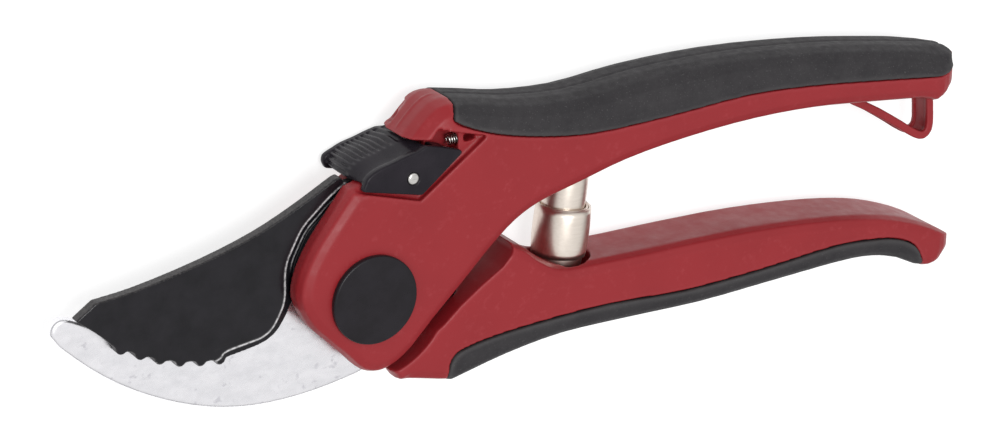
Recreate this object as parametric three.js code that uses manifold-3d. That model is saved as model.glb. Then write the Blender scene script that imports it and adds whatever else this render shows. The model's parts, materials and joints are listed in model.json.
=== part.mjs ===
// Bypass pruner with a thumb latch and a volute return spring, closed and latched.
// Millimetres. X runs along the tool (blade tip at -X, handles at +X), Y runs from the
// lower handle to the upper handle, and Z is the pivot axis. The tool lies on its back:
// the origin is on the pivot axis, on the flat face of the back cap that it rests on.
import * as THREE from 'three';
import { mergeVertices } from 'three/addons/utils/BufferGeometryUtils.js';
import Module from 'manifold-3d';

const wasm = await Module();
wasm.setup();

// ---------- driving dimensions ----------
const REST_HEIGHT = 10;            // mid-plane of the tool above the face it rests on
const HANDLE_HALF = 8.5;           // half depth of the nylon handles
const GRIP_HALF = 8.9;             // half depth of the soft grips
const CORE_HALF = 7.0;             // half depth of the nylon core under a grip
const GRIP_SKIN = 2.3;             // grip thickness measured up or down from the core
const SLOT_HALF = 3.35;            // half width of the slot that the two blades share
const HANDLE_ROUND = 2.4;          // edge rounding of the handles and the pivot cheeks
const GRIP_ROUND = 3.2;            // edge rounding of the grips
const CROWN_ROUND = 5.4;           // rounding of the palm side of the upper handle
const END_ROUND = 8;               // rounding of the handles' ends across their width
const UPPER_END_X = 147.4;
const LOWER_END_X = 148.9;
const GAP = 0.3;                   // fitting gap between a piece and what holds it

const STEEL_NEAR = 0.1;            // blade and counter blade each start this far off the mid-plane
const STEEL_FAR = 2.7;             // and end this far from it
const BLADE_HEEL_R = 23.4;         // heel of the cutting blade, round the pivot
const BLADE_SLOT_R = 26;           // slot that the heel turns in
const FORK_R = 22.6;               // forked nose of the lower handle, round the pivot
const NOSE_R = 17.9;               // face of the lower handle that turns round the cheeks

const BOLT_R = 3.0;                // M6 pivot bolt
const BOLT_HOLE_R = 3.2;
const BUSHING_R = 4.6;
const BLADE_BORE_R = 4.7;
const COUNTERBORE_R = 7.2;
const COUNTERBORE_FLOOR = 5.2;
const WASHER_HALF = 0.2;
const CAP_R = 9.4;
const CAP_PROUD = 1.4;             // height of a cap above the cheek

const LATCH_PIN = { x: 8.8, y: 24.1, r: 1.25 };
const LATCH_HALF = 8.9;            // outer faces of the latch's side plates
const LATCH_INNER = 7.35;          // inner faces of the side plates
const NECK_HALF = 7.0;             // handle neck between the side plates
const LATCH_CLEAR_R = 25.4;        // nothing of the latch reaches nearer the pivot in the slot
const LATCH_SPRING = { x: 19.5, y: 29.7, z: 5.2, r: 1.15, wire: 0.35, length: 2.6 };

const SPRING = { x: 49.4, y: 6.7, length: 23.2, rMid: 6.4, rEnd: 4.9, wall: 0.9, lean: 6.5 };
const SPRING_POCKET_R = 6.8;
const LOOP_HALF = 3.0;             // half width of the hanging loop's strap
const LOOP_THICK = 1.8;

// ---------- materials ----------
function surface(color, roughness, metalness) {
  return new THREE.MeshStandardMaterial({ color, roughness, metalness });
}
const redNylon = surface(0xa83238, 0.5, 0);
const blackGrip = surface(0x3a393c, 0.85, 0);
const blackPlastic = surface(0x2b2a2e, 0.45, 0);
const coatedSteel = surface(0x1d1b20, 0.25, 0.3);
const polishedSteel = surface(0xd8d6da, 0.2, 1);
const brightSteel = surface(0xc9c6c0, 0.3, 1);
const nickelSteel = surface(0xcfc2b4, 0.3, 1);
const bronze = surface(0xa07c4a, 0.4, 1);

// ---------- outline helpers ----------
// A smooth run of points through hand-placed stations.
function smooth(stations, perSpan = 3) {
  const points = stations.map(([x, y]) => new THREE.Vector3(x, y, 0));
  const curve = new THREE.CatmullRomCurve3(points, false, 'centripetal');
  const samples = curve.getPoints((stations.length - 1) * perSpan);
  return samples.map((p) => [p.x, p.y]);
}

// An arc about (cx, cy), angles in degrees.
function arc(cx, cy, r, from, to, steps) {
  const points = [];
  for (let i = 0; i <= steps; i += 1) {
    const a = THREE.MathUtils.degToRad(from + ((to - from) * i) / steps);
    points.push([cx + r * Math.cos(a), cy + r * Math.sin(a)]);
  }
  return points;
}

function shift(points, dx, dy) {
  return points.map(([x, y]) => [x + dx, y + dy]);
}

// A strip of constant width about a centre line, with square ends pushed out by extend.
function strip(centre, half, extend = 0) {
  const left = [];
  const right = [];
  const last = centre.length - 1;
  centre.forEach(([x, y], i) => {
    const [ax, ay] = centre[Math.max(i - 1, 0)];
    const [bx, by] = centre[Math.min(i + 1, last)];
    const along = new THREE.Vector2(bx - ax, by - ay).normalize();
    const push = i === 0 ? -extend : i === last ? extend : 0;
    const px = x + along.x * push;
    const py = y + along.y * push;
    left.push([px - along.y * half, py + along.x * half]);
    right.unshift([px + along.y * half, py - along.x * half]);
  });
  return [...left, ...right];
}

// The outline as distinct corners, always anticlockwise.
function corners(points) {
  const distinct = points.filter(([x, y], i) => {
    const [px, py] = points[(i + points.length - 1) % points.length];
    return Math.hypot(x - px, y - py) > 0.05;
  });
  const outline = distinct.map(([x, y]) => new THREE.Vector2(x, y));
  return THREE.ShapeUtils.area(outline) > 0 ? outline : outline.reverse();
}

// ---------- solid helpers ----------
function solid(geometry) {
  const bare = geometry.clone();
  bare.deleteAttribute('normal');
  bare.deleteAttribute('uv');
  const merged = mergeVertices(bare, 1e-4);
  return new wasm.Manifold(new wasm.Mesh({
    numProp: 3,
    vertProperties: new Float32Array(merged.attributes.position.array),
    triVerts: new Uint32Array(merged.index.array),
  }));
}

function geometryOf(body) {
  const mesh = body.getMesh();
  const geometry = new THREE.BufferGeometry();
  geometry.setAttribute('position', new THREE.BufferAttribute(new Float32Array(mesh.vertProperties), 3));
  geometry.setIndex(new THREE.BufferAttribute(new Uint32Array(mesh.triVerts), 1));
  geometry.computeVertexNormals();
  return geometry;
}

function side(a, b, p) {
  return (b.x - a.x) * (p.y - a.y) - (b.y - a.y) * (p.x - a.x);
}

function edgesCross(a, b, c, d) {
  return side(a, b, c) * side(a, b, d) < 0 && side(c, d, a) * side(c, d, b) < 0;
}

// How far each corner of an anticlockwise outline can move inwards, up to depth, so that no
// edge turns over and no two edges cross.
function insetSteps(points, depth) {
  const count = points.length;
  const next = (i) => (i + 1) % count;
  const steps = points.map((p, i) => {
    const before = p.clone().sub(points[(i + count - 1) % count]).normalize();
    const after = points[next(i)].clone().sub(p).normalize();
    const inward = new THREE.Vector2(-(before.y + after.y), before.x + after.x);
    const halfTurn = Math.max(inward.length() / 2, 0.6);
    return inward.normalize().multiplyScalar(depth / halfTurn);
  });
  let tangled = new Set([0]);
  while (tangled.size > 0) {
    tangled = new Set();
    const moved = points.map((p, i) => p.clone().add(steps[i]));
    for (let i = 0; i < count; i += 1) {
      const edge = points[next(i)].clone().sub(points[i]);
      const movedEdge = moved[next(i)].clone().sub(moved[i]);
      if (movedEdge.dot(edge) < 0.1 * edge.lengthSq()) {
        tangled.add(i).add(next(i));
      }
      for (let j = i + 2; j < count; j += 1) {
        if (edgesCross(moved[i], moved[next(i)], moved[j], moved[next(j)])) {
          tangled.add(i).add(next(i)).add(j).add(next(j));
        }
      }
    }
    tangled.forEach((i) => steps[i].multiplyScalar(0.85));
  }
  return steps;
}

// A flat slab between two heights, with both edges rounded when round is given.
function slab(points, low, high, round = 0, segments = 2) {
  const outline = corners(points);
  const count = outline.length;
  const steps = insetSteps(outline, round);
  const levels = round > 0 ? segments : 0;
  const rings = [];
  for (let k = 0; k <= levels; k += 1) {
    const turn = levels > 0 ? (Math.PI / 2) * (k / levels) : Math.PI / 2;
    rings.push({ inset: 1 - Math.sin(turn), z: low + round * (1 - Math.cos(turn)) });
  }
  const above = rings.map(({ inset, z }) => ({ inset, z: low + high - z })).reverse();
  const stack = [...rings, ...above];
  const positions = stack.flatMap(({ inset, z }) => outline.flatMap((p, i) => (
    [p.x + steps[i].x * inset, p.y + steps[i].y * inset, z]
  )));
  const capRing = outline.map((p, i) => p.clone().addScaledVector(steps[i], round > 0 ? 1 : 0));
  const cap = THREE.ShapeUtils.triangulateShape(capRing, []);
  const top = (stack.length - 1) * count;
  const faces = cap.flatMap(([a, b, c]) => [a, c, b, top + a, top + b, top + c]);
  for (let k = 0; k < stack.length - 1; k += 1) {
    for (let i = 0; i < count; i += 1) {
      const a = k * count + i;
      const b = k * count + ((i + 1) % count);
      faces.push(a, b, b + count, a, b + count, a + count);
    }
  }
  const geometry = new THREE.BufferGeometry();
  geometry.setAttribute('position', new THREE.Float32BufferAttribute(positions, 3));
  geometry.setIndex(faces);
  return solid(geometry);
}

function disc(r, low, high, x = 0, y = 0, segments = 32) {
  const geometry = new THREE.CylinderGeometry(r, r, high - low, segments);
  geometry.rotateX(Math.PI / 2);
  geometry.translate(x, y, (low + high) / 2);
  return solid(geometry);
}

function addAll(bodies) {
  return bodies.reduce((sum, body) => sum.add(body));
}

const tool = new THREE.Group();
tool.position.z = REST_HEIGHT;

function place(name, geometry, material) {
  const mesh = new THREE.Mesh(geometry, material);
  mesh.name = name;
  tool.add(mesh);
  return mesh;
}

// ---------- outlines of the two handles, on the mid-plane ----------
const cheekLeft = smooth([
  [-4.4, 23.2], [-8.5, 18], [-12.8, 12.1], [-15.6, 6.2], [-16, 1.5], [-13.4, -4],
  [-9.8, -7.8], [-5.6, -11.9], [-1.5, -15.9], [2.2, -16.8], [6.5, -15.3], [9.8, -12.8],
]);
const upperUnderside = smooth([
  [14.6, -7.7], [19, -3.4], [23.4, 1], [28, 5.6], [33.6, 10.3], [39, 13.1], [48.7, 15.9],
  [60, 19], [75, 21.4], [92, 22.9], [108, 23], [122, 22], [136, 20.8],
]);
const upperEnd = smooth([[140.9, 19.6], [143.5, 21], [145.6, 23.6], [147.2, 26.8], [146.4, 30.1]]);
const upperTop = smooth([
  [141.2, 31.4], [131, 33], [111.5, 35.5], [86, 37], [64.8, 36.3], [48.6, 34.6],
  [35, 35.3], [26, 36.9],
]);
const humpSlope = smooth([
  [20.8, 37.8], [18, 38], [15.4, 37.4], [12.9, 35.5], [10.7, 33.2], [8.8, 31.1],
], 2);
const neckTop = smooth([[14, 27.9], [9, 27.7], [5.5, 27], [2, 25.7], [-1.6, 24.1]], 2);

const gripEdgeUpper = smooth([
  [18.6, 34.4], [20.6, 33.2], [28.2, 30.4], [39.4, 28.1], [50.8, 27], [69.4, 27.8],
  [90, 29.4], [106, 28.9], [126, 27.2], [137, 26.2], [141.8, 26.2], [145, 27.3],
]);

const nose = arc(0, 0, NOSE_R, -74, -34, 9);
const slitEdge = [[16.6, -8.8], [20.4, -5.4], [25.2, -1.9], [30.2, 1.3], [32.9, 4.2]];
const lowerTop = smooth([
  [33.6, 5.2], [36.4, 3.7], [40.2, 0.6], [44.6, -1.6], [52, -2], [90, -1.6], [106.8, -2.3],
  [120.6, -3.7], [130, -5.5], [138.4, -8.3], [143.6, -10.7], [147, -12.8],
]);
const lowerEnd = smooth([[148.8, -14.8], [147.6, -16.9], [144.6, -18.4], [141.2, -19], [138, -18.4]]);
const lowerUnderside = smooth([
  [133, -16], [127, -14.4], [120, -13.8], [100, -15], [80, -16.4], [60, -16.6],
  [45, -17], [32, -19], [19, -22.2],
]);
const lowerNose = smooth([[12, -20.6], [6.5, -19.4]], 2);
const gripEdgeLower = smooth([
  [17.7, -22], [18, -18], [19.4, -16], [22.6, -14.9], [28, -13.9], [37.5, -12.9], [56, -11.9], [75, -12.4],
  [95, -11.2], [114.6, -9.3], [123, -9.5], [131, -10.6], [136.2, -13.2], [139.4, -18.6],
]);

// ---------- tangs of the two blades inside the handles ----------
const hookTangLine = [[6, 3], [24, 13], [42, 23.6], [58, 27.4], [75, 29]];
const bladeTangLine = [[6, -3], [20, -8.2], [36, -10.6], [55, -10.6], [74, -10]];
const HOOK_TANG_HALF = 5;
const BLADE_TANG_HALF = 3.9;
const TANG_PEG_R = 1.7;
const hookPegs = [[46, 24.6], [64, 28]];
const bladePegs = [[38, -10.7], [64, -10.4]];

// The pocket a tang sits in, with the moulded pegs that pass through its holes left standing.
function tangPocket(line, half, low, high, pegs) {
  const pocket = slab(strip(line, half + GAP, GAP), low, high);
  const standing = addAll(pegs.map(([x, y]) => disc(TANG_PEG_R, low - 1, high + 1, x, y, 16)));
  return pocket.subtract(standing);
}

function tang(line, half, low, high, pegs) {
  const plate = slab(strip(line, half), low, high);
  const holes = addAll(pegs.map(([x, y]) => disc(TANG_PEG_R + GAP, low - 1, high + 1, x, y, 16)));
  return plate.subtract(holes);
}

// ---------- spring pockets ----------
function springCylinder(r, from, to, segments = 28) {
  const geometry = new THREE.CylinderGeometry(r, r, to - from, segments);
  geometry.translate(0, (from + to) / 2, 0);
  geometry.rotateZ(-THREE.MathUtils.degToRad(SPRING.lean));
  geometry.translate(SPRING.x, SPRING.y, 0);
  return solid(geometry);
}

function latchSpringSleeve(r, length) {
  const { x, y, z } = LATCH_SPRING;
  const geometry = new THREE.CylinderGeometry(r, r, length, 16);
  geometry.rotateZ(Math.PI / 2);
  geometry.translate(x, y, z);
  return solid(geometry);
}

// ---------- hanging loop ----------
const loopLine = smooth([
  [120.8, 21.6], [128, 17.8], [134.4, 13.8], [138.8, 11], [140.9, 10.4], [142.3, 11.6],
  [142.4, 14.8], [141.8, 20.8],
], 2);

// ---------- grips and the handle under them ----------
// The zone that a grip covers, on the side where the fingers or the palm lie.
function upperGripZone(gap) {
  const edge = shift(gripEdgeUpper, 0, -gap);
  const front = shift([[19.8, 50], [19.8, 37], [18.6, 34.9]], -gap, 0);
  return [...front, ...edge, [146.2 + gap, 29], [146.2 + gap, 50]];
}
function lowerGripZone(gap) {
  const edge = shift(gripEdgeLower, 0, gap);
  return [[17.6 - gap, -40], [17.6 - gap, -22], ...edge, [140.4 + gap, -40]];
}
const upperBar = [
  [14, 10], ...upperUnderside.slice(3), ...upperEnd, ...upperTop, ...humpSlope, [10.4, 31], [14, 31],
];
const crown = [
  [160, -60], [160, 18], [150.5, 30.4], ...upperTop, ...humpSlope, [-30, 8], [-30, -60],
];
const upperCore = [
  [14, 10], ...upperUnderside.slice(12), [138.4, 21],
  ...shift(upperTop.slice(1), 0, -GRIP_SKIN), [16.5, 34.4],
];
const lowerBody = [
  ...arc(0, 0, NOSE_R - 3, -78, -34, 9), [30, 6.6], [32.4, 6],
  ...lowerTop, ...lowerEnd, ...lowerUnderside, ...lowerNose,
];
// The crisp face of the lower handle that turns round the cheeks and closes on the slit.
const slitCut = [...nose, ...slitEdge, [33.4, 20], [-10, 20], [-10, -30]];
const lowerCore = [
  [30, 3], [60, -3], [110, -5], [136, -9.6], ...shift(lowerUnderside, 0, GRIP_SKIN), [15.2, -18.4],
];

// What lies within a handle's half width, with the handle's end rounded across that width.
function roundedEnd(end, half) {
  const centre = end - END_ROUND;
  const side = half - END_ROUND;
  const plan = [
    [-60, -half], ...arc(centre, -side, END_ROUND, -90, 0, 6), ...arc(centre, side, END_ROUND, 0, 90, 6),
    [-60, half],
  ];
  return slab(plan, -60, 60).rotate([90, 0, 0]);
}

// ---------- upper handle ----------
// Two cheeks clasp the blades at the pivot. Behind them one web carries the counter blade's tang.
const upperOutline = [
  ...cheekLeft, ...upperUnderside, ...upperEnd, ...upperTop, ...humpSlope, [10.4, 31], [14, 31],
  ...neckTop,
];
const uncrowned = [[-40, -40], [110, -40], [110, 10], [40, 24], [14, 27.9], [-40, 27.9]];
// The back cheek stops short behind the blade's spine.
const backCheekCut = [
  [-13, 13.4], [-8.9, 15.9], [-4.4, 18], [-1, 19.7], [3.2, 21.8], [4, 23.4], [1, 26], [-10, 30], [-20, 20],
];
const latchRecess = [
  [-9, 32], [-9, 24.4], [-3, 22.7], [10.8, 18.9], [26.2, 30.3], [21.6, 31.4], [15, 33.2],
  [13.6, 31.2], [12.4, 30.9], [9.6, 30.9], [4, 33],
];
const latchWindow = [[13, 26.8], [19.9, 26.8], [19.9, 31.4], [15.6, 32.4], [13.4, 30.9]];
const latchCorner = [[21.4, 29.2], [25.7, 30], [21.8, 31.1], [21.4, 31.1]];

function upperHandle() {
  const half = HANDLE_HALF;
  const palm = slab(crown, -half, half, CROWN_ROUND, 3).add(slab(uncrowned, -half, half));
  let body = slab(upperOutline, -half, half, HANDLE_ROUND).intersect(palm);
  body = body.intersect(roundedEnd(UPPER_END_X, half));

  const gripZone = slab(upperGripZone(GAP), -20, 20);
  const core = slab(upperCore, -CORE_HALF, CORE_HALF);
  body = body.subtract(gripZone.subtract(core));

  for (const side of [-1, 1]) {
    const from = side > 0 ? NECK_HALF : -20;
    const to = side > 0 ? 20 : -NECK_HALF;
    body = body.subtract(slab(latchRecess, from, to));
    const deepFrom = side > 0 ? SLOT_HALF : -20;
    const deepTo = side > 0 ? 20 : -SLOT_HALF;
    body = body.subtract(slab(latchWindow, deepFrom, deepTo)).subtract(slab(latchCorner, deepFrom, deepTo));
    const boreFrom = side > 0 ? COUNTERBORE_FLOOR : -20;
    const boreTo = side > 0 ? 20 : -COUNTERBORE_FLOOR;
    body = body.subtract(disc(COUNTERBORE_R, boreFrom, boreTo));
  }

  body = body.subtract(slab(backCheekCut, -20, 0));
  const bladeSlot = disc(BLADE_SLOT_R, -SLOT_HALF, SLOT_HALF, 0, 0, 64);
  const front = [[-40, -40], [0, -40], [0, 24], [7.6, 24.6], [7.6, 34], [-40, 34]];
  const openFront = slab(front, -SLOT_HALF, SLOT_HALF);
  const tangSlot = tangPocket(hookTangLine, HOOK_TANG_HALF, -STEEL_FAR - 0.25, 0.05, hookPegs);
  body = body.subtract(bladeSlot).subtract(openFront).subtract(tangSlot);

  body = body.subtract(disc(BOLT_HOLE_R, -20, 20));
  body = body.subtract(disc(LATCH_PIN.r + 0.08, -20, 20, LATCH_PIN.x, LATCH_PIN.y, 20));
  body = body.subtract(latchSpringSleeve(LATCH_SPRING.r + GAP, LATCH_SPRING.length + 2 * GAP));
  body = body.subtract(springCylinder(SPRING_POCKET_R, 7, SPRING.length / 2 + 0.5));
  body = body.subtract(slab(strip(loopLine, LOOP_THICK / 2 + GAP, GAP), -LOOP_HALF - GAP, LOOP_HALF + GAP));
  return geometryOf(body);
}

function upperGrip() {
  const palm = slab(crown, -GRIP_HALF, GRIP_HALF, CROWN_ROUND, 3);
  const shell = slab(upperBar, -GRIP_HALF, GRIP_HALF, GRIP_ROUND).intersect(palm);
  const zone = slab(upperGripZone(0), -20, 20);
  const core = slab(shift(upperCore, GAP, GAP), -CORE_HALF - GAP, CORE_HALF + GAP);
  const tidyFront = slab([[0, 0], [18.6, 0], [18.6, 60], [0, 60]], -20, 20);
  const ended = shell.intersect(zone).intersect(roundedEnd(UPPER_END_X, GRIP_HALF));
  return geometryOf(ended.subtract(core).subtract(tidyFront));
}

// ---------- lower handle ----------
function lowerHandle() {
  let body = slab(lowerBody, -HANDLE_HALF, HANDLE_HALF, HANDLE_ROUND).subtract(slab(slitCut, -20, 20));
  body = body.intersect(roundedEnd(LOWER_END_X, HANDLE_HALF));
  const gripZone = slab(lowerGripZone(GAP), -20, 20);
  const core = slab(lowerCore, -CORE_HALF, CORE_HALF);
  body = body.subtract(gripZone.subtract(core));
  body = body.subtract(disc(FORK_R, -SLOT_HALF, SLOT_HALF, 0, 0, 64));
  body = body.subtract(tangPocket(bladeTangLine, BLADE_TANG_HALF, -0.05, STEEL_FAR + 0.25, bladePegs));
  body = body.subtract(springCylinder(SPRING_POCKET_R, -SPRING.length / 2 - 0.5, 4));
  return geometryOf(body);
}

function lowerGrip() {
  const shell = slab(lowerBody, -GRIP_HALF, GRIP_HALF, GRIP_ROUND, 3);
  const zone = slab(lowerGripZone(0), -20, 20);
  const core = slab(shift(lowerCore, 0, -GAP), -CORE_HALF - GAP, CORE_HALF + GAP);
  const ended = shell.intersect(zone).intersect(roundedEnd(LOWER_END_X, GRIP_HALF));
  return geometryOf(ended.subtract(core));
}

// ---------- cutting blade ----------
// Scalloped teeth along the far half of the edge: tips on a curve, with a scoop between each two.
const toothCurve = new THREE.CatmullRomCurve3([
  new THREE.Vector3(-52.6, -3.7, 0), new THREE.Vector3(-42.2, -8.2, 0), new THREE.Vector3(-31, -10.3, 0),
]);
const TOOTH_SPANS = 5;
const TOOTH_DEPTH = 0.9;
const SCOOP_STEPS = 4;

function teeth() {
  const points = [];
  for (let i = 0; i < TOOTH_SPANS * SCOOP_STEPS + 1; i += 1) {
    const p = toothCurve.getPointAt(i / (TOOTH_SPANS * SCOOP_STEPS));
    const along = toothCurve.getTangentAt(i / (TOOTH_SPANS * SCOOP_STEPS));
    const depth = TOOTH_DEPTH * Math.sin((Math.PI * (i % SCOOP_STEPS)) / SCOOP_STEPS);
    points.push([p.x - along.y * depth, p.y + along.x * depth]);
  }
  return points;
}

const bladeOutline = [
  ...smooth([[-61.6, 4.7], [-59.5, 3.1], [-56.5, 0.6], [-53.6, -2.3]], 2),
  ...teeth(),
  ...smooth([
    [-29.3, -9.2], [-24.6, -8.4], [-20.7, -7.4], [-17.8, -5.3], [-15.9, -2.4], [-14.6, 0], [-11.8, -3.2],
  ], 2),
  ...arc(0, 0, 12.2, 200, 285, 8),
  [10, -5], [17.5, -4.4], [19.5, 6],
  ...arc(0, 0, BLADE_HEEL_R, 42, 98.3, 10),
  [-4.3, 24.7],
  ...smooth([[-5.4, 24.4], [-14.5, 19.5], [-22.9, 15.7], [-34.5, 12], [-49.2, 8.7], [-57.4, 7.7]]),
];

function cuttingBlade() {
  const face = slab(bladeOutline, STEEL_NEAR, STEEL_FAR, 0.25, 1);
  const body = face.add(tang(bladeTangLine, BLADE_TANG_HALF, STEEL_NEAR, STEEL_FAR, bladePegs));
  const latchNotch = disc(1.6, 0, 4, 1.9, 24.1, 16);
  return geometryOf(body.subtract(disc(BLADE_BORE_R, 0, 4)).subtract(latchNotch));
}

// ---------- counter blade ----------
const hookOutline = [
  ...smooth([
    [-61.2, 4], [-63.3, 4.5], [-65, 3.8], [-65.9, 1.4], [-61, -4.2], [-54.8, -9.4],
    [-48.6, -13.5], [-42.2, -16.8], [-35.7, -19.4], [-29.1, -21.2], [-22.5, -22.1],
    [-15.7, -22.2], [-8.9, -21.6], [-2, -20.4], [3.4, -18.9], [8.4, -15.4], [12.6, -9.4],
  ], 2),
  [16, 2], [22, 16],
  ...smooth([[12, 15.4], [4, 15.6], [-4, 15], [-10.5, 11.4], [-14.6, 5.4], [-19.6, -1.4]], 2),
  ...smooth([[-28, -5.6], [-38, -5], [-48, -1.8], [-56, 1.6]], 2),
];

function counterBlade() {
  const face = slab(hookOutline, -STEEL_FAR, -STEEL_NEAR, 0.6);
  const body = face.add(tang(hookTangLine, HOOK_TANG_HALF, -STEEL_FAR, -STEEL_NEAR, hookPegs));
  return geometryOf(body.subtract(disc(BLADE_BORE_R, -4, 0)));
}

// ---------- turned parts on the pivot ----------
function ring(outer, inner, low, high, segments = 32) {
  return geometryOf(disc(outer, low, high, 0, 0, segments).subtract(disc(inner, low - 1, high + 1)));
}

// A domed snap cap with a flat crown, its skirt reaching into the counterbore.
function snapCap(side) {
  const base = HANDLE_HALF + 0.1;
  const top = HANDLE_HALF + 0.1 + CAP_PROUD;
  const profile = [
    [0, base], [COUNTERBORE_R - 1, base], [COUNTERBORE_R - 1, base - 1], [COUNTERBORE_R - GAP, base - 1],
    [COUNTERBORE_R - GAP, base], [CAP_R - 0.1, base], [CAP_R, base + 0.1], [CAP_R, top - 0.5],
    [CAP_R - 0.15, top - 0.2], [CAP_R - 0.5, top - 0.05], [CAP_R - 1.2, top], [0, top],
  ];
  const geometry = new THREE.LatheGeometry(profile.map(([x, y]) => new THREE.Vector2(x, y)), 40);
  geometry.rotateX(side > 0 ? Math.PI / 2 : -Math.PI / 2);
  return geometryOf(solid(geometry));
}

function pivotBolt() {
  const headLow = -HANDLE_HALF + 0.3;
  const headHigh = -COUNTERBORE_FLOOR - 2 * WASHER_HALF - 0.15;
  const head = disc(6, headLow, headHigh, 0, 0, 32);
  const shank = disc(BOLT_R, headHigh - 1, HANDLE_HALF - 0.2, 0, 0, 24);
  const socket = disc(2.3, headLow - 1, headLow + 1.4, 0, 0, 6);
  return geometryOf(head.add(shank).subtract(socket));
}

function pivotNut() {
  const low = COUNTERBORE_FLOOR + 2 * WASHER_HALF + 0.15;
  const hexagon = disc(5.8, low, HANDLE_HALF - 0.4, 0, 0, 6);
  return geometryOf(hexagon.subtract(disc(BOLT_R + 0.05, 0, 20, 0, 0, 24)));
}

// ---------- latch ----------
// A saddle that rocks on a cross pin: two side plates, joined over the neck by the thumb pad.
const latchPad = smooth([
  [-2.3, 23], [-3, 24.5], [-2.6, 26], [-1.2, 27.3], [1.2, 28.4], [4, 29.1], [6.6, 29.9], [9.4, 30.6],
], 2);
const latchOutline = [
  ...latchPad, [12, 30.4], [14.9, 29.8], [19.7, 28.4], [20.2, 27.8], [11.7, 20.8], [10.9, 20.2],
];
const latchHollow = [
  ...smooth([[-3.8, 23.5], [-1.8, 24.5], [2, 26.2], [5.5, 27.6], [8.8, 28.5], [10.6, 28.7]], 2),
  [11.8, 29.2], [11.8, 34], [30, 34], [30, 10], [-10, 10], [-10, 23.5],
];

function latch() {
  const saddle = slab(latchOutline, -LATCH_HALF, LATCH_HALF, 0.9);
  const hollow = slab(latchHollow, -LATCH_INNER, LATCH_INNER);
  const nose = slab([[1.2, 23], [4.4, 23], [4.4, 28.4], [1.2, 27.4]], 0.3, 2.5);
  const lug = slab([[14.2, 28.2], [17.2, 28.2], [17.2, 29.3], [14.2, 29.6]], 3.7, LATCH_INNER + 0.5);
  let body = addAll([saddle.subtract(hollow), nose, lug]);
  body = body.subtract(disc(LATCH_CLEAR_R, -SLOT_HALF, SLOT_HALF, 0, 0, 64));
  body = body.subtract(disc(LATCH_PIN.r + 0.06, -20, 20, LATCH_PIN.x, LATCH_PIN.y, 20));
  return geometryOf(body);
}

function latchPin() {
  const { x, y, r } = LATCH_PIN;
  const shank = disc(r, -LATCH_HALF - 0.15, LATCH_HALF + 0.15, x, y, 20);
  return geometryOf(shank);
}

// A small coil between the latch and a blind bore in the web, drawn as its outer sleeve.
function latchSpring() {
  const { r, wire, length } = LATCH_SPRING;
  return geometryOf(latchSpringSleeve(r, length).subtract(latchSpringSleeve(r - wire, length + 1)));
}

// ---------- return spring ----------
// A double volute: one flat strip wound so that each turn nests in the next, widest at the middle.
function returnSpring() {
  const { length, rMid, rEnd, wall } = SPRING;
  const half = length / 2;
  const tiers = [
    [-half, rEnd], [-half * 0.8, rEnd], [-half * 0.8, rEnd + 0.8], [-half * 0.56, rEnd + 0.8],
    [-half * 0.56, rMid], [half * 0.22, rMid], [half * 0.22, rEnd + 0.8], [half * 0.7, rEnd + 0.8],
    [half * 0.7, rEnd], [half, rEnd],
  ];
  const inner = [[half, rEnd - wall], [0, rEnd - wall + 0.1], [-half, rEnd - wall]];
  const profile = [...tiers, ...inner, tiers[0]].map(([y, r]) => new THREE.Vector2(r, y));
  return new THREE.LatheGeometry(profile, 32);
}

// ---------- hanging loop ----------
function hangingLoop() {
  return geometryOf(slab(strip(loopLine, LOOP_THICK / 2), -LOOP_HALF, LOOP_HALF, 0.4, 1));
}

// ---------- assembly ----------
place('upper_handle', upperHandle(), redNylon);
place('upper_grip', upperGrip(), blackGrip);
place('lower_handle', lowerHandle(), redNylon);
place('lower_grip', lowerGrip(), blackGrip);
place('cutting_blade', cuttingBlade(), coatedSteel);
place('counter_blade', counterBlade(), polishedSteel);

place('pivot_bushing', ring(BUSHING_R, BOLT_HOLE_R - 0.1, -SLOT_HALF + 0.1, SLOT_HALF - 0.1), bronze);
const THRUST_NEAR = STEEL_FAR + 0.12;
const THRUST_FAR = SLOT_HALF - 0.13;
place('front_thrust_washer', ring(8.8, BLADE_BORE_R, THRUST_NEAR, THRUST_FAR), bronze);
place('back_thrust_washer', ring(8.8, BLADE_BORE_R, -THRUST_FAR, -THRUST_NEAR), bronze);
const washerLow = COUNTERBORE_FLOOR + 0.08;
const washerHigh = COUNTERBORE_FLOOR + 2 * WASHER_HALF + 0.08;
place('nut_washer', ring(6.4, BOLT_R + 0.12, washerLow, washerHigh), brightSteel);
place('bolt_washer', ring(6.4, BOLT_R + 0.12, -washerHigh, -washerLow), brightSteel);
place('pivot_bolt', pivotBolt(), brightSteel);
place('pivot_nut', pivotNut(), brightSteel);
place('front_cap', snapCap(1), blackPlastic);
place('back_cap', snapCap(-1), blackPlastic);

place('latch', latch(), blackPlastic);
place('latch_pin', latchPin(), brightSteel);
place('latch_spring', latchSpring(), brightSteel);

const spring = place('return_spring', returnSpring(), nickelSteel);
spring.position.set(SPRING.x, SPRING.y, 0);
spring.rotation.z = -THREE.MathUtils.degToRad(SPRING.lean);

place('hanging_loop', hangingLoop(), redNylon);

export default tool;
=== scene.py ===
"""The looks of a bypass pruner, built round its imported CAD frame.

Shapes are worked out in millimetres about the tool's mid-plane: X along the tool, blade tip at -X,
Y towards the palm side, Z along the pivot axis. Outlines come from sections through the frame."""

import json
import math

import bpy
import numpy as np
from mathutils import Matrix, Vector


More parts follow.
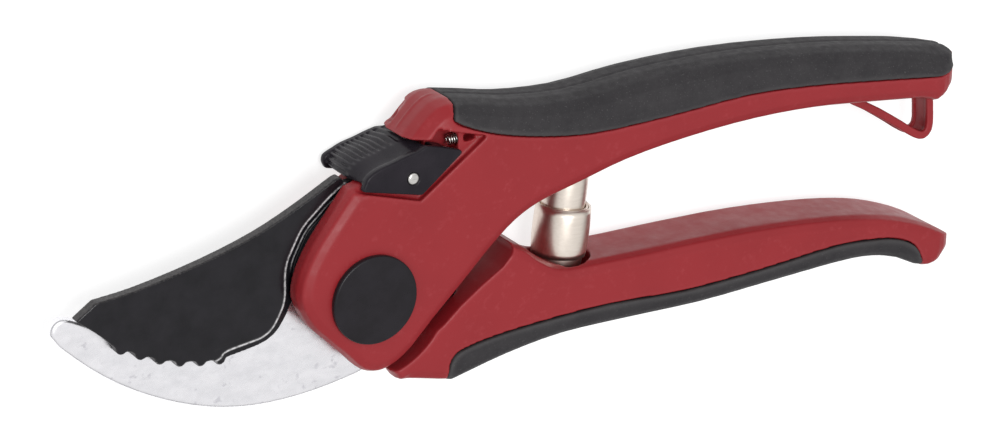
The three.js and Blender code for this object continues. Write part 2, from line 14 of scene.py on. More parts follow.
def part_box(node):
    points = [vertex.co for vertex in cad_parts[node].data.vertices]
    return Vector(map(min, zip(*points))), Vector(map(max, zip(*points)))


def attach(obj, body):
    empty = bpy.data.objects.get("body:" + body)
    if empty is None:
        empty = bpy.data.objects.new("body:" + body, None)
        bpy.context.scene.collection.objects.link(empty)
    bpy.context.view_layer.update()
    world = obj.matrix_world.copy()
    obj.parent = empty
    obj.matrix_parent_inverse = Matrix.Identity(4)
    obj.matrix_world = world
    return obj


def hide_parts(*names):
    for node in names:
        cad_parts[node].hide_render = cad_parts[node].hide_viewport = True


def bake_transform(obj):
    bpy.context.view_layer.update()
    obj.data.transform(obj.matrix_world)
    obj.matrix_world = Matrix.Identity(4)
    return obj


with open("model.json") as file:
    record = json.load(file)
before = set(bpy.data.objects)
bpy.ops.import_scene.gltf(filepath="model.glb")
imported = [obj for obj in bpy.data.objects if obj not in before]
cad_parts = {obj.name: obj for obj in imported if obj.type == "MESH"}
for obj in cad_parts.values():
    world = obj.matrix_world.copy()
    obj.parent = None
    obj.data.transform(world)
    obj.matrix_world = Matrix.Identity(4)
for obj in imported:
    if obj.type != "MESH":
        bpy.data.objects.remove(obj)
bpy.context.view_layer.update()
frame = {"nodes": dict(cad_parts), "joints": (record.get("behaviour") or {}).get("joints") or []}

MM = 0.001
JOINTS = {joint["name"]: joint for joint in frame["joints"]}
PIVOT = np.array(JOINTS["handles_open"]["pos_m"]) / MM
LATCH_PIVOT = np.array(JOINTS["latch_rock"]["pos_m"]) / MM
MID_PLANE = np.array([0.0, 0.0, PIVOT[2]])

# ---------- sizes that the frame doesn't hold, in mm ----------
HANDLE_VOXEL = 0.34
PLATE_STEP = 0.2


# ---------- meshes ----------
def place(name, points, faces):
    """A smooth-shaded object from points in mm about the mid-plane."""
    mesh = bpy.data.meshes.new(name)
    if isinstance(faces, np.ndarray):
        faces = faces.tolist()
    mesh.from_pydata(((np.asarray(points) + MID_PLANE) * MM).tolist(), [], faces)
    mesh.validate()
    mesh.shade_smooth()
    piece = bpy.data.objects.new(name, mesh)
    bpy.context.scene.collection.objects.link(piece)
    return piece


def points_of(mesh):
    """A mesh's points in mm about the mid-plane."""
    flat = np.empty(len(mesh.vertices) * 3)
    mesh.vertices.foreach_get("co", flat)
    return flat.reshape(-1, 3) / MM - MID_PLANE


def normals_of(mesh):
    flat = np.empty(len(mesh.vertices) * 3)
    mesh.vertices.foreach_get("normal", flat)
    return flat.reshape(-1, 3)


def move_points(mesh, points):
    mesh.vertices.foreach_set("co", ((points + MID_PLANE) * MM).ravel())
    mesh.update()


def edges_of(mesh):
    flat = np.empty(len(mesh.edges) * 2, dtype=np.int32)
    mesh.edges.foreach_get("vertices", flat)
    return flat.reshape(-1, 2)


def neighbour_mean(values, edges):
    """The mean over each point's neighbours."""
    a, b = edges.T
    size = len(values)
    count = np.bincount(a, minlength=size) + np.bincount(b, minlength=size)
    total = np.empty_like(values)
    for k in range(values.shape[1]):
        total[:, k] = np.bincount(a, values[b, k], size) + np.bincount(b, values[a, k], size)
    return total / np.maximum(count, 1)[:, None]


def relax(mesh, rounds, share=1.0):
    """Takes the facets out of a mesh without shrinking it, each point moving by its own share."""
    points = points_of(mesh)
    edges = edges_of(mesh)
    for _ in range(rounds):
        for pull in (0.5, -0.52):
            points = points + share * pull * (neighbour_mean(points, edges) - points)
    move_points(mesh, points)


def crispness(mesh):
    """From 0 where a mesh is flat or gently rounded to 1 along its sharp edges."""
    edges = edges_of(mesh)
    around = neighbour_mean(neighbour_mean(normals_of(mesh), edges), edges)
    return ramp(1 - np.linalg.norm(around, axis=1), 0.04, 0.12)


def store(mesh, name, values):
    attribute = mesh.attributes.new(name, "FLOAT", "POINT")
    attribute.data.foreach_set("value", np.asarray(values, dtype=np.float32))


def mark_edges(mesh, reach=4):
    """Stores how far each point stands out from its surroundings, for wear along edges."""
    points = points_of(mesh)
    edges = edges_of(mesh)
    around = points
    for _ in range(reach):
        around = neighbour_mean(around, edges)
    outward = ((points - around) * normals_of(mesh)).sum(1)
    outward = outward[:, None]
    for _ in range(3):
        outward = neighbour_mean(outward, edges)
    store(mesh, "edge", np.clip(outward[:, 0] / 0.12, -1, 1))


def moulded(node, name, voxel=HANDLE_VOXEL, rounds=12):
    """A CAD node's shape as one finely meshed skin with its facets relaxed away."""
    piece = bpy.data.objects.new(name, frame["nodes"][node].data.copy())
    bpy.context.scene.collection.objects.link(piece)
    skin = piece.modifiers.new("skin", "REMESH")
    skin.mode = "VOXEL"
    skin.voxel_size = voxel * MM
    bpy.context.view_layer.update()
    graph = bpy.context.evaluated_depsgraph_get()
    mesh = bpy.data.meshes.new_from_object(piece.evaluated_get(graph))
    piece.modifiers.clear()
    piece.data = mesh
    mesh.name = name
    mesh.materials.clear()
    relax(mesh, 2)
    relax(mesh, rounds, 1 - 0.85 * crispness(mesh)[:, None])
    mesh.shade_smooth()
    return piece


# ---------- solids from distances ----------
def triangles_of(node):
    mesh = frame["nodes"][node].data
    mesh.calc_loop_triangles()
    corners = np.array([t.vertices[:] for t in mesh.loop_triangles])
    return points_of(mesh)[corners]


def section(node, height):
    """Where a CAD node crosses a height, as loose line segments."""
    segments = []
    for corner in triangles_of(node):
        above = corner[:, 2] - height
        if above.min() >= 0 or above.max() <= 0:
            continue
        ends = []
        for i in range(3):
            j = (i + 1) % 3
            if (above[i] < 0) != (above[j] < 0):
                share = above[i] / (above[i] - above[j])
                ends.append(corner[i, :2] + (corner[j, :2] - corner[i, :2]) * share)
        segments.append(ends)
    return np.array(segments)


def closed(points):
    """A listed outline as line segments."""
    points = np.array(points, float)
    return np.stack([points, np.roll(points, -1, axis=0)], axis=1)


def curve(stations, steps=6):
    """A Catmull-Rom run through given stations."""
    p = np.array(stations, float)
    p = np.vstack([2 * p[0] - p[1], p, 2 * p[-1] - p[-2]])
    run = []
    for i in range(1, len(p) - 2):
        for t in np.arange(steps) / steps:
            run.append(0.5 * (2 * p[i] + (p[i + 1] - p[i - 1]) * t
                              + (2 * p[i - 1] - 5 * p[i] + 4 * p[i + 1] - p[i + 2]) * t**2
                              + (3 * p[i] - p[i - 1] - 3 * p[i + 1] + p[i + 2]) * t**3))
    run.append(p[-2])
    return [tuple(q) for q in run]


class Grid:
    """Sample points round one CAD node."""

    def __init__(self, node, step, margin=1.0):
        low, high = (np.array(corner) / MM - MID_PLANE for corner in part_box(node))
        self.low = low - margin
        self.step = step
        self.axes = [np.arange(a - margin, b + margin, step) for a, b in zip(low, high)]
        self.x, self.y = np.meshgrid(self.axes[0], self.axes[1], indexing="ij")
        self.z = self.axes[2][None, None, :]

    def outline(self, segments, blur=0):
        """Signed distance from an outline, negative inside, softened by blur rounds."""
        nearest = np.full(self.x.shape, 1e9)
        inside = np.zeros(self.x.shape, bool)
        for (ax, ay), (bx, by) in segments:
            dx, dy = bx - ax, by - ay
            along = ((self.x - ax) * dx + (self.y - ay) * dy) / max(dx * dx + dy * dy, 1e-9)
            along = np.clip(along, 0, 1)
            gap = (self.x - ax - along * dx) ** 2 + (self.y - ay - along * dy) ** 2
            nearest = np.minimum(nearest, gap)
            if ay != by:
                level = (ay > self.y) != (by > self.y)
                inside ^= level & (self.x < ax + (self.y - ay) * dx / dy)
        distance = np.where(inside, -1, 1) * np.sqrt(nearest)
        for _ in range(blur):
            for axis in (0, 1):
                ends = np.roll(distance, 1, axis) + np.roll(distance, -1, axis)
                distance = 0.5 * distance + 0.25 * ends
        return distance

    def at(self, flat, points):
        """An outline's distance at these points, between its samples."""
        where = (points[:, :2] - self.low[:2]) / self.step
        i, j = np.floor(where).astype(int).T
        u, v = (where - np.floor(where)).T
        near = flat[i, j] * (1 - v) + flat[i, j + 1] * v
        far = flat[i + 1, j] * (1 - v) + flat[i + 1, j + 1] * v
        return near * (1 - u) + far * u

    def extruded(self, flat, low, high, rounding):
        """A solid with this outline between two heights, its edges rounded."""
        flat = flat if flat.ndim == 3 else flat[:, :, None]
        across = flat + rounding
        up = np.abs(self.z - (low + high) / 2) - (high - low) / 2 + rounding
        outside = np.hypot(np.maximum(across, 0), np.maximum(up, 0))
        return np.minimum(np.maximum(across, up), 0) + outside - rounding

    def mesh(self, field):
        """The surface where field is zero, as one point in each crossed cell."""
        shape = np.array(field.shape)
        cells = shape - 1
        size = int(cells.prod())
        total = np.zeros((size, 3))
        count = np.zeros(size)
        quads = []
        for axis in range(3):
            here = np.take(field, range(shape[axis] - 1), axis)
            ahead = np.take(field, range(1, shape[axis]), axis)
            crossed = (here < 0) != (ahead < 0)
            start = np.argwhere(crossed)
            a, b = here[crossed], ahead[crossed]
            point = start.astype(float)
            point[:, axis] += a / (a - b)
            u, v = (axis + 1) % 3, (axis + 2) % 3
            round_edge = []
            whole = np.ones(len(start), bool)
            for du, dv in ((0, 0), (-1, 0), (-1, -1), (0, -1)):
                cell = start.copy()
                cell[:, u] += du
                cell[:, v] += dv
                whole &= ((cell >= 0) & (cell < cells)).all(1)
                round_edge.append(cell)
            ids = np.stack([np.ravel_multi_index(c[whole].T, cells) for c in round_edge], 1)
            for column in ids.T:
                count += np.bincount(column, minlength=size)
                for k in range(3):
                    total[:, k] += np.bincount(column, point[whole, k], size)
            backwards = a[whole] >= 0
            ids[backwards] = ids[backwards][:, ::-1]
            quads.append(ids)
        used = count > 0
        number = np.cumsum(used) - 1
        points = total[used] / count[used][:, None] * self.step + self.low
        return points, number[np.vstack(quads)]


def joined(a, b, soft=0.4):
    """The union of two distance fields with a soft fillet."""
    blend = np.clip(0.5 + 0.5 * (b - a) / soft, 0, 1)
    return b + (a - b) * blend - soft * blend * (1 - blend)


def ramp(value, start, end):
    t = np.clip((value - start) / (end - start), 0, 1)
    return t * t * (3 - 2 * t)


def turned(profile, segments=128):
    """A turned part about the pivot axis, from (radius, height) points that start and end on it."""
    radius, height = np.array(profile).T
    turn = 2 * math.pi * np.arange(segments) / segments
    rows = len(profile)
    points = np.stack([np.outer(radius, np.cos(turn)), np.outer(radius, np.sin(turn)),
                       np.repeat(height[:, None], segments, 1)], 2).reshape(-1, 3)
    faces = [[i * segments + j, i * segments + (j + 1) % segments,
              (i + 1) * segments + (j + 1) % segments, (i + 1) * segments + j]
             for i in range(rows - 1) for j in range(segments)]
    faces.append(list(range(segments))[::-1])
    faces.append(list(range((rows - 1) * segments, rows * segments)))
    return points, faces


# ---------- materials ----------
class Surface:
    """A procedural material, in the coordinates of the piece that wears it."""

    def __init__(self, name):
        self.material = bpy.data.materials.new(name)
        self.material.use_nodes = True
        self.tree = self.material.node_tree
        self.shader = self.tree.nodes["Principled BSDF"]
        self.place = self.add("ShaderNodeTexCoord").outputs["Object"]

    def add(self, kind, **inputs):
        node = self.tree.nodes.new(kind)
        for name, value in inputs.items():
            self.link(node, name, value)
        return node

    def link(self, node, name, value):
        socket = node.inputs[int(name[1:])] if name[0] == "_" else node.inputs[name.replace("_", " ")]
        if isinstance(value, bpy.types.NodeSocket):
            self.tree.links.new(value, socket)
        else:
            socket.default_value = value

    def noise(self, size_mm, detail=3.0, roughness=0.55, stretch=None):
        """Noise with features of about this size, between about 0.25 and 0.75."""
        where = self.place
        if stretch is not None:
            mapping = self.add("ShaderNodeMapping", Vector=where)
            mapping.inputs["Scale"].default_value = stretch
            where = mapping.outputs["Vector"]
        node = self.add("ShaderNodeTexNoise", Vector=where, Scale=1 / (size_mm * MM), Detail=detail,
                        Roughness=roughness)
        return node.outputs["Fac"]

    def attribute(self, name):
        node = self.add("ShaderNodeAttribute")
        node.attribute_name = name
        return node.outputs["Fac"]

    def spread(self, value, low, high, to_low=0.0, to_high=1.0):
        """Maps low..high onto to_low..to_high, clamped."""
        node = self.add("ShaderNodeMapRange", _0=value, _1=low, _2=high, _3=to_low, _4=to_high)
        return node.outputs["Result"]

    def math(self, operation, a, b=0.0):
        node = self.add("ShaderNodeMath", _0=a, _1=b)
        node.operation = operation
        return node.outputs["Value"]

    def mix(self, share, a, b):
        node = self.tree.nodes.new("ShaderNodeMix")
        node.data_type = "RGBA"
        for index, value in ((0, share), (6, a), (7, b)):
            if isinstance(value, bpy.types.NodeSocket):
                self.tree.links.new(value, node.inputs[index])
            else:
                node.inputs[index].default_value = value
        return node.outputs[2]

    def bump(self, height, depth_mm, under=None):
        node = self.add("ShaderNodeBump", Height=height, Distance=depth_mm * MM)
        if under is not None:
            self.tree.links.new(under, node.inputs["Normal"])
        return node.outputs["Normal"]

    def finish(self, **inputs):
        for name, value in inputs.items():
            self.link(self.shader, name, value)
        return self.material


def tone(r, g, b):
    return (r, g, b, 1.0)


def nylon(name, body, pale, deep):
    """Moulded nylon: satin, finely grained, paler along worn edges and slightly blotched."""
    s = Surface(name)
    blotch = s.spread(s.noise(14, 2), 0.35, 0.65)
    colour = s.mix(s.math("MULTIPLY", blotch, 0.35), body, deep)
    scuff = s.math("MULTIPLY", s.spread(s.noise(2.2, 6, 0.7), 0.56, 0.7), 0.35)
    worn = s.math("MULTIPLY", s.spread(s.attribute("edge"), 0.2, 0.9), 0.3)
    colour = s.mix(s.math("MAXIMUM", scuff, worn), colour, pale)
    grain = s.noise(0.28, 4, 0.6)
    gloss = s.spread(s.noise(3.0, 5), 0.3, 0.7, 0.36, 0.52)
    scratches = s.noise(0.5, 3, 0.6, (0.08, 1.0, 1.0))
    normal = s.bump(scratches, 0.012, s.bump(grain, 0.02))
    return s.finish(Base_Color=colour, Roughness=gloss, Normal=normal, Specular_IOR_Level=0.34)


def soft_grip(name):
    """Moulded elastomer: matte, dark, with fine pale specks of dust in its grain."""
    s = Surface(name)
    cloud = s.spread(s.noise(9, 3), 0.35, 0.65)
    colour = s.mix(cloud, tone(0.023, 0.021, 0.0235), tone(0.031, 0.0285, 0.031))
    specks = s.math("MULTIPLY", s.spread(s.noise(0.35, 2, 0.5), 0.62, 0.74), 0.5)
    colour = s.mix(specks, colour, tone(0.1, 0.096, 0.098))
    worn = s.math("MULTIPLY", s.spread(s.attribute("edge"), 0.2, 0.9), 0.3)
    colour = s.mix(worn, colour, tone(0.1, 0.097, 0.097))
    gloss = s.spread(s.noise(1.4, 4), 0.3, 0.7, 0.6, 0.8)
    normal = s.bump(s.noise(0.22, 3), 0.035, s.bump(s.noise(1.6, 3), 0.03))
    return s.finish(Base_Color=colour, Roughness=gloss, Normal=normal, Specular_IOR_Level=0.3)


def black_plastic(name, dark, light, level):
    """Moulded black plastic: satin with a faint grain."""
    s = Surface(name)
    cloud = s.spread(s.noise(6, 3), 0.35, 0.65)
    colour = s.mix(cloud, dark, light)
    worn = s.math("MULTIPLY", s.spread(s.attribute("edge"), 0.2, 0.9), 0.35)
    colour = s.mix(worn, colour, tone(0.06, 0.058, 0.065))
    gloss = s.spread(s.noise(1.8, 5), 0.3, 0.7, 0.24, 0.36)
    normal = s.bump(s.noise(0.3, 4), 0.018)
    return s.finish(Base_Color=colour, Roughness=gloss, Normal=normal, Specular_IOR_Level=level)


def coated_steel(name):
    """Black coated blade steel, with painted highlights along its lips, painted glints on its tooth rims,
    and rougher side walls with painted sheen.
    """
    s = Surface(name)
    cloud = s.spread(s.noise(5, 4), 0.35, 0.65)
    black = s.mix(cloud, tone(0.006, 0.0055, 0.0075), tone(0.011, 0.01, 0.013))
    # The side walls are rougher, and pale specks painted on them stand in for the sheen they catch.
    wall = s.attribute("wall")
    sheen_specks = s.math("MULTIPLY", wall, s.spread(s.noise(0.5, 4, 0.7), 0.4, 0.62, 0.1, 0.9))
    black = s.mix(sheen_specks, black, tone(0.06, 0.055, 0.055))
    # Painted highlights: pale steel colour along the lips and on the tooth rims, broken up by noise, stands
    # in for light caught on these edges.
    highlight_breakup = s.spread(s.noise(0.9, 4, 0.6), 0.36, 0.55, 0.35, 1.0)
    painted_highlight = s.math("MULTIPLY", s.math("MAXIMUM", s.attribute("lip_highlight"), s.attribute("rim")), highlight_breakup)
    colour = s.mix(painted_highlight, black, tone(0.8, 0.79, 0.8))
    gloss = s.spread(s.noise(1.2, 5, 0.65), 0.3, 0.7, 0.14, 0.26)
    gloss = s.math("ADD", gloss, s.math("MULTIPLY", wall, 0.2))
    normal = s.bump(s.noise(0.7, 4, 0.6), 0.012)
    return s.finish(Base_Color=colour, Roughness=gloss, Normal=normal, Specular_IOR_Level=0.27)


def bright_plate(name):
    """Nickel plate over a forged surface: bright, with shallow pits and cloudy streaks."""
    s = Surface(name)
    streak = s.spread(s.noise(2.6, 5, 0.65, (0.5, 1.0, 1.0)), 0.34, 0.6)
    colour = s.mix(streak, tone(0.84, 0.835, 0.865), tone(0.93, 0.92, 0.95))
    pits = s.spread(s.noise(2.2, 4, 0.5), 0.3, 0.38)
    colour = s.mix(pits, tone(0.72, 0.71, 0.75), colour)
    gloss = s.spread(s.noise(2.0, 4), 0.3, 0.7, 0.2, 0.34)
    normal = s.bump(s.noise(1.4, 3, 0.5), 0.008, s.bump(s.noise(3.4, 3), 0.035))
    return s.finish(Base_Color=colour, Metallic=1.0, Roughness=gloss, Normal=normal)


def steel(name, dark, light, gloss_low=0.18, gloss_high=0.34, grain=0.25, depth=0.006):
    """Turned or rolled steel with fine lines across it."""
    s = Surface(name)
    lines = s.noise(grain, 4, 0.6, (0.12, 1.0, 1.0))
    colour = s.mix(s.spread(lines, 0.3, 0.7), dark, light)
    gloss = s.spread(s.noise(1.5, 5), 0.3, 0.7, gloss_low, gloss_high)
    normal = s.bump(lines, depth, s.bump(s.noise(1.1, 4), depth * 1.6))
    return s.finish(Base_Color=colour, Metallic=1.0, Roughness=gloss, Normal=normal)


RED = nylon("red nylon", tone(0.27, 0.013, 0.018), tone(0.35, 0.042, 0.05), tone(0.225, 0.009, 0.013))
GRIP = soft_grip("soft grip")
BLACK = black_plastic("black plastic", tone(0.006, 0.0045, 0.0065), tone(0.011, 0.009, 0.0125), 0.25)
LATCH_BLACK = black_plastic("latch plastic", tone(0.012, 0.01, 0.014), tone(0.018, 0.015, 0.02), 0.15)
BLADE = coated_steel("coated steel")
PLATE = bright_plate("bright plate")
STEEL = steel("bright steel", tone(0.5, 0.49, 0.47), tone(0.78, 0.76, 0.73))
NICKEL = steel("spring nickel", tone(0.78, 0.7, 0.62), tone(0.86, 0.78, 0.7), 0.3, 0.36, 0.5, 0.0003)
BRONZE = steel("bronze", tone(0.32, 0.2, 0.09), tone(0.55, 0.36, 0.17))


def dress(piece, material, slot, body, *nodes):
    """Gives a piece its material and its place on a body instead of CAD nodes; slot is not used."""
    piece.data.materials.append(material)
    if body is not None:
        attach(piece, body)
    if nodes:
        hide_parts(*nodes)
    return piece


# ---------- handles and grips ----------
LOWER_STEP = 0.7
UPPER_STEP = 0.55
PARTING_RIDGE = 0.17
PARTING_GROOVE = 0.22
UNDER_CORNER_EASE = 1.3
TOP_CORNER_EASE = 0.9
TOP_EASE = 0.9
LOWER_END_EASE = 2.2


def on_hump(points):
    """Two small steps up the back edge of the hump, and a fine parting line over its middle."""
    x, y, z = points.T
    slope = ramp(y, 31.6, 32.6) * (1 - ramp(x, 19, 20.5)) * ramp(x, 7, 9)
    front = ramp(y - 31.1 - 1.12 * (x - 8.8), -3.6, -2.4)
    steps = LOWER_STEP * (1 - ramp(y, 33.9, 34.3)) + UPPER_STEP * (1 - ramp(y, 35.7, 36.1))
    line = np.exp(-((z / 0.28) ** 2)) * PARTING_RIDGE
    return slope * front * (line - steps * ramp(-z, 2.5, 5.5))


def ease_upper_end(mesh):
    """Rounds the corners at the upper handle's end, clear of the hanging loop."""
    points = points_of(mesh)
    x, y, z = points.T
    corners = UNDER_CORNER_EASE * (1 - ramp(y, 20, 24)) + TOP_CORNER_EASE * ramp(y, 27, 30)
    back = ramp(x, 137, 147) * ramp(np.abs(z), 3.2, 6) * corners
    down = TOP_EASE * ramp(x, 133, 144) * ramp(np.abs(z), 1, 7) * ramp(y, 24, 30)
    points[:, 0] -= back
    points[:, 1] -= down
    move_points(mesh, points)


def ease_lower_end(mesh):
    """Rounds the fingers' side of the lower handle's end."""
    points = points_of(mesh)
    points[:, 0] -= LOWER_END_EASE * ramp(points[:, 0], 138, 147) * ramp(-points[:, 1], 15, 19)
    move_points(mesh, points)


def upper_handle():
    piece = moulded("upper_handle", "upper_handle_shell")
    mesh = piece.data
    ease_upper_end(mesh)
    points = points_of(mesh)
    move_points(mesh, points + normals_of(mesh) * on_hump(points)[:, None])
    mark_edges(mesh)
    return dress(piece, RED, "red_nylon", "upper", "upper_handle")


def lower_handle():
    piece = moulded("lower_handle", "lower_handle_shell")
    ease_lower_end(piece.data)
    mark_edges(piece.data)
    return dress(piece, RED, "red_nylon", "lower", "lower_handle")


def grip(node, body, palm_side):
    """A soft grip with the fine groove of its mould's parting line along the outside."""
    piece = moulded(node, node + "_skin")
    mesh = piece.data
    if palm_side > 0:
        ease_upper_end(mesh)
    points = points_of(mesh)
    normals = normals_of(mesh)
    outside = ramp(normals[:, 1] * palm_side, 0.5, 0.8)
    groove = np.exp(-((points[:, 2] / 0.35) ** 2)) * PARTING_GROOVE * outside
    move_points(mesh, points - normals * groove[:, None])
    mark_edges(mesh)
    return dress(piece, GRIP, "soft_grip", body, node)


# ---------- blades ----------
BLADE_TOP = 2.7
BLADE_BOTTOM = 0.1
BEVEL_WIDTH = 2.2
BEVEL_DROP = 1.0
SCORE_DEPTH = 0.14
SCORE_WIDTH = 0.16
# Where the painted highlight lines along the bevel's lips lie and how wide they are, and how strong the
# painted glints on the tooth rims are.
LIP_HIGHLIGHT_PLACE, LIP_HIGHLIGHT_WIDTH = 0.05, 0.18
SECOND_HIGHLIGHT_PLACE, SECOND_HIGHLIGHT_WIDTH = 1.5, 0.17
LIP_HIGHLIGHT_END_Y = 23.4
RIM_GLINT = 0.3
# The inner edge of the ground bevel, from the last tooth round to where the cheek covers it.
BEVEL_LINE = curve([
    (-31.1, -8.9), (-30.2, -7.8), (-27.7, -7.2), (-24.6, -6.7), (-21.8, -6.1), (-19.7, -4.7),
    (-18.3, -2.5), (-17.2, -0.2), (-16.8, 2.4), (-16.8, 5.1), (-16.4, 8.5), (-14.7, 12.2),
    (-12.8, 15.5), (-10.1, 18.1), (-6.4, 21.3), (-2.8, 23.6),
], 3)
FACE_REST = [(0, 30), (-70, 30), (-70, 4.5), (-58, -6), (-40, -12)]
TOOTH_LINE = [(-52.6, -3.7), (-42.2, -8.2), (-31.0, -10.3)]
TEETH = 6
TOOTH_R = 1.15
SCORES = [((-32.0, -7.2), (-26.4, -6.3)), ((-31.6, -6.6), (-26.6, -5.8))]


def along_line(stations, count):
    """Evenly spaced points along a smooth run, with the direction there."""
    run = np.array(curve(stations, 20))
    length = np.concatenate([[0], np.cumsum(np.linalg.norm(np.diff(run, axis=0), axis=1))])
    marks = np.linspace(0, length[-1], count)
    points = np.stack([np.interp(marks, length, run[:, k]) for k in (0, 1)], 1)
    ahead = np.gradient(points, axis=0)
    return points, ahead / np.linalg.norm(ahead, axis=1)[:, None]


def cutting_blade():
    """A black coated blade: rounded teeth, a hollow-ground band along its edge, and painted highlights
    along its lip.
    """
    grid = Grid("cutting_blade", PLATE_STEP)
    flat = grid.outline(section("cutting_blade", 1.4), 1)
    for (x, y), (dx, dy) in zip(*along_line(TOOTH_LINE, TEETH)):
        lobe = np.hypot(grid.x - x + dy * TOOTH_R * 0.8, grid.y - y - dx * TOOTH_R * 0.8) - TOOTH_R
        flat = joined(flat, lobe, 0.3)
    face = grid.outline(closed([*FACE_REST, *BEVEL_LINE]), 2)
    band = np.clip(face, 0, BEVEL_WIDTH) / BEVEL_WIDTH * (1 - ramp(face, BEVEL_WIDTH, BEVEL_WIDTH + 0.4))
    score = np.full(grid.x.shape, 9.0)
    for start, end in SCORES:
        score = np.minimum(score, grid.outline(np.array([[start, end]])))
    dents = (BEVEL_DROP * band + SCORE_DEPTH * np.exp(-((score / SCORE_WIDTH) ** 2)))[:, :, None]
    body = grid.extruded(flat, BLADE_BOTTOM, BLADE_TOP, 0.25)
    points, faces = grid.mesh(np.maximum(body, grid.z - BLADE_TOP + dents))
    piece = place("blade_body", points, faces)
    relax(piece.data, 1)
    x, y, z = points.T
    face = grid.at(face, points)
    flat = grid.at(flat, points)
    # Painted highlights: a line along the bevel's lip, a second line nearer the cheek, and glints on the
    # tooth rims.
    lip_highlight = np.exp(-(((face - LIP_HIGHLIGHT_PLACE) / LIP_HIGHLIGHT_WIDTH) ** 2))
    second_highlight = np.exp(-(((face - SECOND_HIGHLIGHT_PLACE) / SECOND_HIGHLIGHT_WIDTH) ** 2)) * ramp(y, 6, 9)
    rim = ramp(flat, -0.3, -0.1) * (y < x * 0.2 + 2) * (x < -31) * RIM_GLINT
    store(piece.data, "lip_highlight", np.maximum(lip_highlight, second_highlight) * (y < LIP_HIGHLIGHT_END_Y) * ramp(z, 1.6, 2.2))
    store(piece.data, "rim", rim * ramp(z, 1.9, 2.4))
    # Side walls, for their real roughness and their painted sheen.
    store(piece.data, "wall", ramp(flat, -0.25, -0.05))
    return dress(piece, BLADE, "coated_steel", "lower", "cutting_blade")


def counter_blade():
    """The hook: a plate with well rounded edges."""
    grid = Grid("counter_blade", PLATE_STEP)
    flat = grid.outline(section("counter_blade", -1.4), 3)
    points, faces = grid.mesh(grid.extruded(flat, -BLADE_TOP, -BLADE_BOTTOM, 0.8))
    piece = place("hook_body", points, faces)
    relax(piece.data, 2)
    return dress(piece, PLATE, "bright_plate", "upper", "counter_blade")


# ---------- pivot ----------
CAP_R = 9.4
CAP_BASE = 8.6
CAP_HEIGHT = 1.4
CAP_RIM = 0.45
FRONT_DOME = 0.22


def cap(name, node, sign, dome):
    """A snap cap with an upright wall, a rolled rim and a crown; the one it lies on is flat."""
    top = CAP_BASE + CAP_HEIGHT
    flat_r = CAP_R - CAP_RIM
    crown = [(r, top - dome * (r / flat_r) ** 2) for r in np.linspace(0.01, flat_r - 0.1, 16)]
    rim = [(flat_r + CAP_RIM * math.sin(a), top - dome - CAP_RIM + CAP_RIM * math.cos(a))
           for a in np.linspace(0.0, math.pi / 2, 9)]
    wall = [(CAP_R, h) for h in (CAP_BASE + 0.5, CAP_BASE + 0.2, CAP_BASE + 0.08)]
    profile = [*crown, *rim, *wall, (CAP_R - 0.1, CAP_BASE - 0.06), (CAP_R - 0.4, CAP_BASE - 0.08),
               (6.9, CAP_BASE), (6.9, CAP_BASE - 1), (6.2, CAP_BASE - 1), (6.2, CAP_BASE), (0.01, CAP_BASE)]
    points, faces = turned(profile[::-1])
    points = points * [1, 1, sign]
    if sign < 0:
        faces = [face[::-1] for face in faces]
    piece = place(name, points, faces)
    mark_edges(piece.data)
    return dress(piece, BLACK, "black_plastic", "upper", node)


# ---------- latch ----------
PLATE_OUT = 8.9
PLATE_IN = 7.35
RIB_DEPTH = 0.42
RIB_PITCH = math.radians(8.6)
RIB_CENTRE = (4.5, 21.0)
FRONT_FALL = 1.1
BACK_FALL = 0.75
BACK_PLATE_DROP = 0.7
LATCH_CORNER = [(-2.9, 23.6), (-1.2, 28.4)]
LATCH_WEBS = ((1.4, 0.3, 2.5), (5.5, 3.7, 7.6))
EJECTOR = (12.9, 27.4)
EJECTOR_R = 1.6


def left_of(grid, start, end):
    """Distance to the left of a line, seen along it."""
    (ax, ay), (bx, by) = start, end
    return ((bx - ax) * (grid.y - ay) - (by - ay) * (grid.x - ax)) / math.hypot(bx - ax, by - ay)


